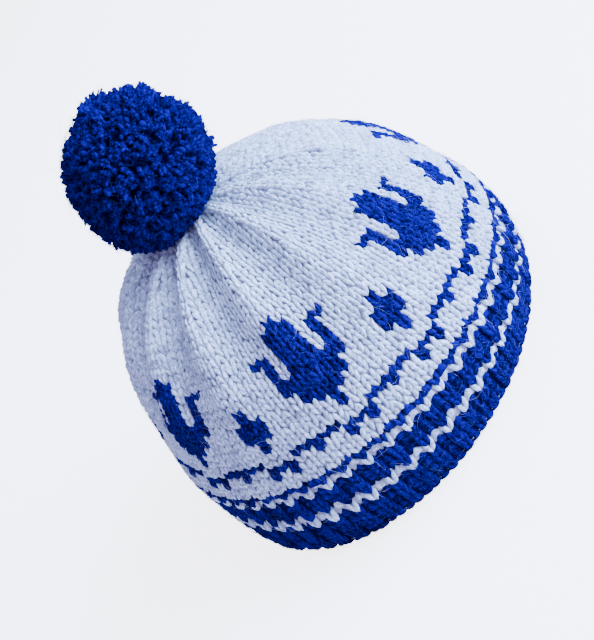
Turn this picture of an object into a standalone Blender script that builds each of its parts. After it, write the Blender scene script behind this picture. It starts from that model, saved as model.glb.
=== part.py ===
"""Knitted bobble hat: ribbed band, domed crown drawn into folds, and a pompom of cut-yarn locks.

Metres, +Z up, the rim resting on z = 0. The front of the hat faces -Y, and azimuths run from there towards +X.
"""

import math
import random
from typing import Callable, NamedTuple

import bmesh
import bpy
from mathutils import Vector

# Sizes of the knitted body
WIDEST_RADIUS = 0.088
BODY_HEIGHT = 0.1180
BAND_HEIGHT = 0.0350
WALL = 0.0032
PIECE_GAP = 0.0003

# k1p1 rib of the band
RIB_COUNT = 56
RIB_DEPTH = 0.0009
CAST_ON_ROUNDING = 0.0012

# Folds that the gathering at the top draws into the crown
FOLD_COUNT = 14
FOLD_DEPTH = 0.0066
FOLD_AZIMUTH_DEG = -15.4
DEEPEST_FOLDS_DEG = -50.0

# The body leans a little to +X above the rim
LEAN_DEG = 5.0
LEAN_SETTLES_AT = 0.024

# Pompom
POMPOM_RADIUS = 0.0300
POMPOM_SEAT_RADIUS = 0.0130
POMPOM_EXTRA_REACH = 0.0021
POMPOM_LONG_WAY = (0.815, 0.276, 0.510)
POMPOM_OFF_X = -0.0036
POMPOM_OFF_Y = -0.0028
LOCK_LENGTH = 0.0040
LOCK_TAPER = 0.62
LOCK_SEED = 7

BAND_SEGMENTS = RIB_COUNT * 4
CROWN_SEGMENTS = FOLD_COUNT * 6


class Section(NamedTuple):
    """One level of the body: its height and outer radius as shares of BODY_HEIGHT and WIDEST_RADIUS."""

    height: float
    radius: float


PROFILE = (
    Section(0.000, 0.966),
    Section(0.035, 0.980),
    Section(0.100, 0.993),
    Section(0.190, 1.000),
    Section(0.310, 0.989),
    Section(0.420, 0.951),
    Section(0.540, 0.905),
    Section(0.660, 0.842),
    Section(0.760, 0.752),
    Section(0.850, 0.632),
    Section(0.920, 0.480),
    Section(0.968, 0.325),
    Section(0.992, 0.190),
    Section(1.000, 0.075),
)


class FoldLevel(NamedTuple):
    """How deep the folds are at one height, as a share of FOLD_DEPTH."""

    height: float
    depth: float


FOLD_LEVELS = (
    FoldLevel(0.00, 0.00),
    FoldLevel(0.46, 0.00),
    FoldLevel(0.56, 0.12),
    FoldLevel(0.66, 0.42),
    FoldLevel(0.76, 0.80),
    FoldLevel(0.86, 1.00),
    FoldLevel(0.94, 0.92),
    FoldLevel(0.98, 0.66),
    FoldLevel(1.00, 0.30),
)


class Swell(NamedTuple):
    """A place where the body is out of round: how far it stands out there is a share of WIDEST_RADIUS."""

    azimuth_deg: float
    height: float
    azimuth_spread_deg: float
    height_spread: float
    depth: float


SWELLS = (
    Swell(-111.0, 0.66, 42.0, 0.20, -0.019),
    Swell(-78.0, 0.00, 38.0, 0.13, 0.016),
    Swell(75.0, 0.04, 38.0, 0.13, -0.010),
    Swell(125.0, 0.80, 45.0, 0.16, -0.010),
)


def smooth(share: float) -> float:
    """Eased step from 0 to 1."""
    share = min(1.0, max(0.0, share))
    return share * share * (3.0 - 2.0 * share)


def monotone(rows: tuple, at: float) -> float:
    """Value of the second column of a table at a place in the first, by monotone cubic pieces."""
    xs = [row[0] for row in rows]
    ys = [row[1] for row in rows]
    at = min(xs[-1], max(xs[0], at))
    steps = [(ys[i + 1] - ys[i]) / (xs[i + 1] - xs[i]) for i in range(len(xs) - 1)]
    slopes = [steps[0]]
    for before, after in zip(steps, steps[1:]):
        slopes.append(0.0 if before * after <= 0 else 2.0 * before * after / (before + after))
    slopes.append(steps[-1])
    i = next(i for i in range(len(steps)) if at <= xs[i + 1])
    width = xs[i + 1] - xs[i]
    t = (at - xs[i]) / width
    return (
        ys[i] * (1 + 2 * t) * (1 - t) ** 2
        + slopes[i] * width * t * (1 - t) ** 2
        + ys[i + 1] * t * t * (3 - 2 * t)
        + slopes[i + 1] * width * t * t * (t - 1)
    )


def radius_at(height_share: float) -> float:
    """Outer radius of the body, without folds or ribs."""
    return WIDEST_RADIUS * monotone(PROFILE, height_share)


def outward_at(height_share: float) -> tuple[float, float]:
    """Unit normal of the profile as (radial, upward)."""
    step = 0.004
    low, high = max(0.0, height_share - step), min(1.0, height_share + step)
    run = radius_at(high) - radius_at(low)
    rise = (high - low) * BODY_HEIGHT
    length = math.hypot(run, rise)
    return rise / length, -run / length


def fold_relief(azimuth: float, height_share: float) -> float:
    """Height of the folds over the plain body: ridges stand out and valleys sink in."""
    phase = FOLD_COUNT * (azimuth - math.radians(FOLD_AZIMUTH_DEG))
    ridge = (0.5 + 0.5 * math.cos(phase)) ** 1.1 - 0.48
    strength = 0.55 + 0.45 * math.cos(azimuth - math.radians(DEEPEST_FOLDS_DEG))
    room = min(1.0, radius_at(height_share) / (0.30 * WIDEST_RADIUS))
    return FOLD_DEPTH * strength * room * ridge * monotone(FOLD_LEVELS, height_share)


def out_of_round(azimuth: float, height_share: float) -> float:
    """How far the worn body stands out from, or sinks in under, the round profile."""
    total = 0.0
    for swell in SWELLS:
        away = math.remainder(azimuth - math.radians(swell.azimuth_deg), 2.0 * math.pi)
        turn = away / math.radians(swell.azimuth_spread_deg)
        rise = (height_share - swell.height) / swell.height_spread
        total += swell.depth * math.exp(-turn * turn - rise * rise)
    return WIDEST_RADIUS * total


def rib_relief(azimuth: float, height: float) -> float:
    """Height of the ribs over the plain band, fading towards the smooth knitting above."""
    fade = 1.0 - 0.6 * smooth((height / BAND_HEIGHT - 0.7) / 0.3)
    return RIB_DEPTH * fade * 0.5 * math.cos(RIB_COUNT * (azimuth - math.radians(FOLD_AZIMUTH_DEG)))


def lean(point: Vector) -> Vector:
    """Turns a point about the Y axis by the lean that has built up at its height."""
    angle = math.radians(LEAN_DEG) * smooth(point.z / LEAN_SETTLES_AT)
    c, s = math.cos(angle), math.sin(angle)
    return Vector((point.x * c + point.z * s, point.y, point.z * c - point.x * s))


def place(radius: float, azimuth: float, height: float) -> Vector:
    """Point at a radius, azimuth and height of the leaning body."""
    return lean(Vector((radius * math.sin(azimuth), -radius * math.cos(azimuth), height)))


def body_point(azimuth: float, height: float, depth: float, relief: Callable[[float, float], float]) -> Vector:
    """Point of the body under the outer face by a depth, measured square to the profile."""
    share = height / BODY_HEIGHT
    radial, upward = outward_at(share)
    offset = relief(azimuth, height) + out_of_round(azimuth, share) - depth
    return place(max(0.0008, radius_at(share) + radial * offset), azimuth, height + upward * offset)


def new_object(name: str, mesh: bmesh.types.BMesh, color: tuple, collection: bpy.types.Collection) -> bpy.types.Object:
    """Turns a closed mesh into a named object with its own material."""
    bmesh.ops.recalc_face_normals(mesh, faces=mesh.faces)
    data = bpy.data.meshes.new(name)
    mesh.to_mesh(data)
    mesh.free()
    material = bpy.data.materials.new(f"{name}_wool")
    material.use_nodes = True
    shader = material.node_tree.nodes["Principled BSDF"]
    shader.inputs["Base Color"].default_value = color
    shader.inputs["Roughness"].default_value = 0.9
    data.materials.append(material)
    obj = bpy.data.objects.new(name, data)
    collection.objects.link(obj)
    return obj


def bridge(mesh: bmesh.types.BMesh, rings: list, closed: bool) -> None:
    """Joins each ring of points to the next with quads."""
    pairs = list(zip(rings, rings[1:]))
    if closed:
        pairs.append((rings[-1], rings[0]))
    for low, high in pairs:
        for k in range(len(low)):
            after = (k + 1) % len(low)
            mesh.faces.new((low[k], low[after], high[after], high[k]))


def ring_of(mesh: bmesh.types.BMesh, segments: int, at: Callable[[float], Vector], start: float = 0.0) -> list:
    """One closed ring of points, the first at the start azimuth."""
    return [mesh.verts.new(at(start + 2.0 * math.pi * k / segments)) for k in range(segments)]


def build_band(collection: bpy.types.Collection) -> bpy.types.Object:
    """Ribbed band: a corrugated wall with a rounded cast-on edge that meets the ground in a flat ring."""
    mesh = bmesh.new()
    soft = CAST_ON_ROUNDING
    top = BAND_HEIGHT
    start = math.radians(FOLD_AZIMUTH_DEG)
    outer = [(soft, 0.0)] + [(soft + (top - soft) * k / 5.0, 0.0) for k in range(1, 6)]
    inner = [(soft + (top - soft) * k / 3.0, WALL) for k in (3, 2, 1, 0)]

    walls = [
        ring_of(mesh, BAND_SEGMENTS, lambda a, h=h, d=d: body_point(a, h, d, rib_relief), start)
        for h, d in outer + inner
    ]
    foot = radius_at(0.0)
    feet = [
        ring_of(
            mesh,
            BAND_SEGMENTS,
            lambda a, d=d: place(foot - d * WALL + rib_relief(a, 0.0) + out_of_round(a, 0.0), a, 0.0),
            start,
        )
        for d in (0.30, 0.70)
    ]
    rings = [feet[0], *walls, feet[1]]
    bridge(mesh, rings, closed=True)
    return new_object("ribbed_band", mesh, (0.02, 0.06, 0.42, 1.0), collection)


def build_crown(collection: bpy.types.Collection) -> bpy.types.Object:
    """Crown: a knitted shell, open below, folded towards the gathered top, where it closes."""
    mesh = bmesh.new()
    base = BAND_HEIGHT + PIECE_GAP
    shares = (0.0, 0.16, 0.32, 0.47, 0.60, 0.71, 0.80, 0.87, 0.925, 0.965, 0.987, 1.0)

    def folds(azimuth: float, height: float) -> float:
        return fold_relief(azimuth, height / BODY_HEIGHT)

    heights = [base + (BODY_HEIGHT - base) * share for share in shares]
    inside = [h for h in heights if radius_at(h / BODY_HEIGHT) > 0.19 * WIDEST_RADIUS]
    walls = [(h, 0.0) for h in reversed(heights)] + [(h, WALL) for h in inside]
    ridge = math.radians(FOLD_AZIMUTH_DEG)
    rings = [
        ring_of(mesh, CROWN_SEGMENTS, lambda a, h=h, d=d: body_point(a, h, d, folds), ridge) for h, d in walls
    ]
    bridge(mesh, rings, closed=False)
    for ring, depth in ((rings[0], 0.0), (rings[-1], WALL)):
        tip = mesh.verts.new(place(0.0, 0.0, BODY_HEIGHT - depth - 0.12 * WALL))
        for k in range(CROWN_SEGMENTS):
            mesh.faces.new((ring[k], ring[(k + 1) % CROWN_SEGMENTS], tip))
    return new_object("crown", mesh, (0.80, 0.82, 0.90, 1.0), collection)


def build_pompom(collection: bpy.types.Collection) -> bpy.types.Object:
    """Pompom: a slightly long ball whose faces are drawn out into tapered locks, pressed flat on the crown."""
    mesh = bmesh.new()
    seat = BODY_HEIGHT + PIECE_GAP
    rise = math.sqrt(POMPOM_RADIUS**2 - POMPOM_SEAT_RADIUS**2)
    centre = Vector((POMPOM_OFF_X, POMPOM_OFF_Y, seat + rise))
    along = Vector(POMPOM_LONG_WAY).normalized()
    stretch = POMPOM_EXTRA_REACH / POMPOM_RADIUS
    bmesh.ops.create_icosphere(mesh, subdivisions=3, radius=POMPOM_RADIUS - LOCK_LENGTH)
    spread = random.Random(LOCK_SEED)
    for face in list(mesh.faces):
        middle = face.calc_center_median()
        out = middle.normalized()
        reach = LOCK_LENGTH * spread.uniform(0.72, 1.12)
        aside = Vector([spread.uniform(-1.0, 1.0) for _ in range(3)]) * 0.10 * LOCK_LENGTH
        corners = list(face.verts)
        tips = [
            mesh.verts.new(middle + (corner.co - middle) * LOCK_TAPER + out * reach + aside) for corner in corners
        ]
        for k, corner in enumerate(corners):
            after = (k + 1) % len(corners)
            mesh.faces.new((corner, corners[after], tips[after], tips[k]))
        mesh.faces.new(tips)
        mesh.faces.remove(face)
    for vert in mesh.verts:
        point = vert.co + along * stretch * vert.co.dot(along) + centre
        point.z = max(point.z, seat)
        vert.co = lean(point)
    return new_object("pompom", mesh, (0.01, 0.04, 0.50, 1.0), collection)


def centre_on_origin(objects: list) -> None:
    """Moves the whole hat so that its bounding box is centred over the origin."""
    points = [vert.co for obj in objects for vert in obj.data.vertices]
    middle = [
        (min(point[axis] for point in points) + max(point[axis] for point in points)) / 2.0 for axis in (0, 1)
    ]
    for obj in objects:
        for vert in obj.data.vertices:
            vert.co -= Vector((middle[0], middle[1], 0.0))


def main() -> None:
    """Clears the scene and builds the three pieces."""
    for obj in list(bpy.data.objects):
        bpy.data.objects.remove(obj, do_unlink=True)
    collection = bpy.data.collections.new("knitted_bobble_hat")
    bpy.context.scene.collection.children.link(collection)
    pieces = [build_band(collection), build_crown(collection), build_pompom(collection)]
    centre_on_origin(pieces)


main()
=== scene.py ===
"""Looks of the knitted bobble hat: each stitch of the band and crown, the cut-yarn pompom and the wool."""

import logging
import math
import sys
from dataclasses import dataclass, field
from enum import Enum
from typing import NamedTuple, Sequence

import bpy
import numpy as np
from mathutils import Matrix, Vector


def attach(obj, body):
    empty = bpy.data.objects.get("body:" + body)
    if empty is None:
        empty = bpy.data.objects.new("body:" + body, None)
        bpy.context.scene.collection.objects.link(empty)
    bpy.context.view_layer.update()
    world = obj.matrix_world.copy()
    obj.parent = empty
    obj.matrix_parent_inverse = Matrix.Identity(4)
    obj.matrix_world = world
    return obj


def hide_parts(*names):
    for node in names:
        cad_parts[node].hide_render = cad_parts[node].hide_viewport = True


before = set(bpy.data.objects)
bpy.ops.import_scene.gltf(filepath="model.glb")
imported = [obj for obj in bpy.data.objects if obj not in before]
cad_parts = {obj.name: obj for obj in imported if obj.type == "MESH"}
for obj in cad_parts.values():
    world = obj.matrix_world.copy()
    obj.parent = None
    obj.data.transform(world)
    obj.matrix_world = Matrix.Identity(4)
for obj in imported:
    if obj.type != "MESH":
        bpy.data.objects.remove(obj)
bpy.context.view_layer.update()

LOG = logging.getLogger("bobble_hat")
TURN = 2.0 * math.pi
MM = 0.001
GOLDEN_SHARE = 0.6180339887
# Nothing of the looks reaches lower than this above the floor.
LOWEST = 0.0002
WHITE = (1.0, 1.0, 1.0, 1.0)


class Yarn(Enum):
    """The two wools, each with the name of its slot in the record."""

    WHITE = "white_yarn"
    BLUE = "blue_yarn"


class Stitch(Enum):
    """The ways a stitch shows its face."""

    KNIT = "knit"
    PURL = "purl"


# Shader maths


class Value:
    """A socket that can be used in plain Python expressions."""

    def __init__(self, tree: "ShaderTree", socket: bpy.types.NodeSocket) -> None:
        """Keeps the socket and the tree that new Math nodes go into."""
        self.tree = tree
        self.socket = socket

    def _maths(self, operation: str, *values: object) -> "Value":
        """Adds a Math node with one or two values or links."""
        return self.tree.add("ShaderNodeMath", {"operation": operation}, dict(enumerate(values)))

    def __add__(self, other: object) -> "Value":
        """self + other"""
        return self._maths("ADD", self, other)

    def __sub__(self, other: object) -> "Value":
        """self - other"""
        return self._maths("SUBTRACT", self, other)

    def __mul__(self, other: object) -> "Value":
        """self * other"""
        return self._maths("MULTIPLY", self, other)

    def sine(self) -> "Value":
        """Sine of the value in radians."""
        return self._maths("SINE", self)

    def above(self, low: float, high: float) -> "Value":
        """Eased step from 0 at low to 1 at high."""
        settings = {"interpolation_type": "SMOOTHSTEP"}
        inputs = {"Value": self, "From Min": low, "From Max": high}
        return self.tree.add("ShaderNodeMapRange", settings, inputs)


class ShaderTree:
    """Builds one material's nodes."""

    def __init__(self, name: str) -> None:
        """Makes the material with an empty node tree."""
        self.material = bpy.data.materials.new(name)
        self.material.use_nodes = True
        self.nodes = self.material.node_tree.nodes
        self.links = self.material.node_tree.links
        self.nodes.clear()

    def add(
        self, kind: str, settings: dict | None = None, inputs: dict | None = None, output: object = 0
    ) -> Value:
        """Adds a node.

        Args:
            kind: the node's type.
            settings: its settings, which are set first.
            inputs: values or links by socket name or number.
            output: name or number of the output that is wanted.

        Returns:
            That output.
        """
        node = self.nodes.new(kind)
        for key, value in (settings or {}).items():
            setattr(node, key, value)
        for key, value in (inputs or {}).items():
            if isinstance(value, Value):
                self.links.new(value.socket, node.inputs[key])
            else:
                node.inputs[key].default_value = value
        return Value(self, node.outputs[output])

    def mix(self, share: object, first: object, second: object) -> Value:
        """Mixes two colours or links by the share of the second."""
        return self.add("ShaderNodeMix", {"data_type": "RGBA"}, {0: share, 6: first, 7: second}, 2)

    def noise(self, place: Value, scale: float, detail: float = 2.0, roughness: float = 0.5) -> Value:
        """Noise between 0 and 1 at a place."""
        inputs = {"Vector": place, "Scale": scale, "Detail": detail, "Roughness": roughness}
        return self.add("ShaderNodeTexNoise", {}, inputs, "Fac")

    def stretch(self, place: Value, scale: Sequence[float]) -> Value:
        """Scales a place along each axis through a Mapping node."""
        return self.add("ShaderNodeMapping", {}, {"Vector": place, "Scale": tuple(scale)})

    def place(self) -> Value:
        """Where the point lies in its object."""
        return self.add("ShaderNodeTexCoord", {}, {}, "Object")

    def attribute(self, name: str) -> Value:
        """A number that the mesh carries at each point."""
        return self.add("ShaderNodeAttribute", {"attribute_name": name}, {}, "Fac")

    def finish(self, shader: dict, bump: Value, bump_depth: float) -> bpy.types.Material:
        """Ends the tree in a Principled shader, with a relief from 0 to 1 of a depth in metres."""
        inputs = {"Strength": 1.0, "Distance": bump_depth, "Height": bump}
        relief = self.add("ShaderNodeBump", {}, inputs, "Normal")
        surface = self.add("ShaderNodeBsdfPrincipled", {}, {**shader, "Normal": relief})
        output = self.nodes.new("ShaderNodeOutputMaterial")
        self.links.new(surface.socket, output.inputs["Surface"])
        return self.material


# Finishes


@dataclass(frozen=True)
class WoolFinish:
    """Plied wool: fibres along the yarn, soft plies, heather flecks, and painted shade that darkens the lower
    parts of each strand, where it sinks between the others.
    """

    name: str
    lit: tuple
    body: tuple
    # Colour of the painted shade on the lowest parts of the yarn, laid on between shade_from and shade_to of
    # each point's depth.
    painted_shade: tuple
    fleck: tuple
    fleck_share: float
    shade_from: float = 0.12
    shade_to: float = 0.62
    roughness: float = 0.95
    sheen: float = 0.0
    sheen_roughness: float = 0.6
    specular: float = 0.0
    # Fibres, plies and flecks follow the strand's UV map. Fuzz and patches follow the place.
    fibre_scale: tuple = (8.0, 0.50, 1.0)
    ply_climb: float = 1.7
    fleck_scale: tuple = (7.0, 1.5, 1.0)
    fleck_size: float = 1.3
    fleck_range: tuple = (0.60, 0.72)
    fuzz_scale: float = 1050.0
    patch_scale: float = 260.0
    # What each adds to the lightness, and the range over which the body colour turns into the lit one.
    fibre_light: float = 1.00
    fuzz_light: float = 0.85
    tone_light: float = 0.22
    patch_light: float = 0.10
    dimming: float = 0.585
    lit_range: tuple = (0.32, 0.66)
    # What each adds to the relief, and the relief's depth in metres.
    fibre_relief: float = 0.45
    ply_relief: float = 0.15
    fuzz_relief: float = 0.40
    relief_depth: float = 0.0014

    def material(self) -> bpy.types.Material:
        """Builds the material, which reads the strand UV map and the depth and tone of each point."""
        tree = ShaderTree(self.name)
        strand = tree.add("ShaderNodeUVMap", {"uv_map": "strand"})
        turns, along = (tree.add("ShaderNodeSeparateXYZ", {}, {0: strand}, axis) for axis in range(2))
        fibres = tree.noise(tree.stretch(strand, self.fibre_scale), 1.0, 2.0, 0.75)
        plies = (turns * TURN + along * self.ply_climb).sine() * 0.5 + 0.5
        fuzz = tree.noise(tree.place(), self.fuzz_scale, 2.0, 0.75)
        patches = tree.noise(tree.place(), self.patch_scale, 2.0, 0.5)
        light = fibres * self.fibre_light + fuzz * self.fuzz_light + tree.attribute("tone") * self.tone_light
        light = light + patches * self.patch_light - self.dimming
        colour = tree.mix(light.above(*self.lit_range), self.body, self.lit)
        flecks = tree.noise(tree.stretch(strand, self.fleck_scale), self.fleck_size, 1.0, 0.4)
        colour = tree.mix(flecks.above(*self.fleck_range) * self.fleck_share, colour, self.fleck)
        # Painted shade: the lower a point lies in its stitch or among the pompom's ends, the more it takes
        # the shade colour.
        colour = tree.mix(tree.attribute("depth").above(self.shade_from, self.shade_to), self.painted_shade, colour)
        shader = {
            "Base Color": colour,
            "Roughness": self.roughness,
            "Sheen Weight": self.sheen,
            "Sheen Roughness": self.sheen_roughness,
            "Specular IOR Level": self.specular,
        }
        relief = fibres * self.fibre_relief + plies * self.ply_relief + fuzz * self.fuzz_relief
        return tree.finish(shader, relief, self.relief_depth)


@dataclass(frozen=True)
class InnerFinish:
    """The fabric's back, white or blue by the dye that each point carries, with a felted surface and painted
    shade in the hollows of its relief.
    """

    name: str
    white: tuple
    white_painted_shade: tuple
    blue: tuple
    blue_painted_shade: tuple
    fuzz_scale: float = 1400.0
    fibre_scale: tuple = (420.0, 420.0, 1500.0)
    light_range: tuple = (0.3, 0.7)
    dye_range: tuple = (0.35, 0.65)
    roughness: float = 0.95
    specular: float = 0.02
    relief_depth: float = 0.0004

    def material(self) -> bpy.types.Material:
        """Builds the material, which reads the dye of each point."""
        tree = ShaderTree(self.name)
        fuzz = tree.noise(tree.place(), self.fuzz_scale, 3.0, 0.6)
        fibres = tree.noise(tree.stretch(tree.place(), self.fibre_scale), 1.0, 2.0, 0.6)
        relief = fuzz * 0.5 + fibres * 0.5
        # Painted shade: where the felt's relief is low, the colour turns to the darker shade colour.
        light = relief.above(*self.light_range)
        white = tree.mix(light, self.white_painted_shade, self.white)
        blue = tree.mix(light, self.blue_painted_shade, self.blue)
        colour = tree.mix(tree.attribute("dye").above(*self.dye_range), white, blue)
        shader = {"Base Color": colour, "Roughness": self.roughness, "Specular IOR Level": self.specular}
        return tree.finish(shader, relief, self.relief_depth)


@dataclass(frozen=True)
class PaleFloor:
    """The plain pale floor, which glows white for the camera and dimly for the hat."""

    name: str
    colour: tuple
    glow: float
    unseen_glow: tuple = (0.06, 0.07, 0.09, 1.0)
    grain_scale: float = 60.0
    grain_light: float = 1.01
    grain_depth: float = 0.00005
    roughness: float = 0.9
    specular: float = 0.1

    def material(self) -> bpy.types.Material:
        """Builds the material."""
        tree = ShaderTree(self.name)
        grain = tree.noise(tree.place(), self.grain_scale, 3.0, 0.5)
        lighter = tuple(min(1.0, c * self.grain_light) for c in self.colour)
        seen = tree.add("ShaderNodeLightPath", {}, {}, "Is Camera Ray")
        shader = {
            "Base Color": tree.mix(grain, self.colour, lighter),
            "Roughness": self.roughness,
            "Specular IOR Level": self.specular,
            "Emission Color": tree.mix(seen, self.unseen_glow, WHITE),
            "Emission Strength": self.glow,
        }
        return tree.finish(shader, grain, self.grain_depth)


WHITE_WOOL = WoolFinish(
    name="white_wool",
    lit=(0.80, 0.87, 1.0, 1.0),
    body=(0.37, 0.40, 0.50, 1.0),
    # Painted shade on the lowest parts of the white yarn.
    painted_shade=(0.34, 0.33, 0.42, 1.0),
    fleck=(0.34, 0.36, 0.46, 1.0),
    fleck_share=0.50,
    sheen=0.15,
    specular=0.08,
    shade_from=0.34,
    shade_to=0.78,
)
BLUE_WOOL = WoolFinish(
    name="blue_wool",
    lit=(0.0105, 0.0009, 0.210, 1.0),
    body=(0.0010, 0.0001, 0.030, 1.0),
    # Painted shade on the lowest parts of the blue yarn.
    painted_shade=(0.0004, 0.0001, 0.006, 1.0),
    fleck=(0.0005, 0.0001, 0.007, 1.0),
    fleck_share=0.90,
)
POMPOM_WOOL = WoolFinish(
    name="pompom_wool",
    lit=(0.0100, 0.0008, 0.20, 1.0),
    body=(0.0008, 0.0001, 0.020, 1.0),
    # Painted shade towards the roots of the pompom's ends and on its heart.
    painted_shade=(0.0006, 0.0001, 0.013, 1.0),
    fleck=(0.0005, 0.0001, 0.009, 1.0),
    fleck_share=0.85,
    shade_from=0.0,
    shade_to=0.60,
)
# Stray hairs in a paler blue than the wool: partly their own paler tone, partly painted highlight standing in
# for the glint of hairs finer than these.
BLUE_HAIR = WoolFinish(
    name="blue_hair",
    lit=(0.085, 0.100, 0.44, 1.0),
    body=(0.022, 0.025, 0.24, 1.0),
    painted_shade=(0.010, 0.010, 0.15, 1.0),
    fleck=(0.030, 0.030, 0.24, 1.0),
    fleck_share=0.50,
    specular=0.02,
)
INNER_WOOL = InnerFinish(
    name="inner_wool",
    # The white back is painted a dim grey, darker than the white wool, so that what shows through the gaps
    # between stitches reads as shade.
    white=(0.46, 0.43, 0.50, 1.0),
    white_painted_shade=(0.28, 0.25, 0.31, 1.0),
    blue=(0.0010, 0.0006, 0.045, 1.0),
    blue_painted_shade=(0.0004, 0.0001, 0.012, 1.0),
)
FLOOR = PaleFloor(name="pale_floor", colour=(0.93, 0.93, 0.94, 1.0), glow=4.0)


# Form of the hat


def smooth(share: np.ndarray) -> np.ndarray:
    """Eased step from 0 to 1."""
    share = np.clip(share, 0.0, 1.0)
    return share * share * (3.0 - 2.0 * share)


def monotone(rows: Sequence[Sequence[float]], at: np.ndarray) -> np.ndarray:
    """Looks up a table by monotone cubic pieces, as the solids do.

    Args:
        rows: pairs of place and value.
        at: the places wanted.

    Returns:
        The values there.
    """
    xs, ys = np.array(rows, float).T
    at = np.clip(at, xs[0], xs[-1])
    steps = np.diff(ys) / np.diff(xs)
    before, after = steps[:-1], steps[1:]
    total = np.where(before + after == 0.0, 1.0, before + after)
    inner = np.where(before * after <= 0.0, 0.0, 2.0 * before * after / total)
    slopes = np.concatenate([steps[:1], inner, steps[-1:]])
    i = np.clip(np.searchsorted(xs, at, side="left") - 1, 0, len(steps) - 1)
    width = xs[i + 1] - xs[i]
    t = (at - xs[i]) / width
    return (
        ys[i] * (1 + 2 * t) * (1 - t) ** 2
        + slopes[i] * width * t * (1 - t) ** 2
        + ys[i + 1] * t * t * (3 - 2 * t)
        + slopes[i + 1] * width * t * t * (t - 1)
    )


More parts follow.
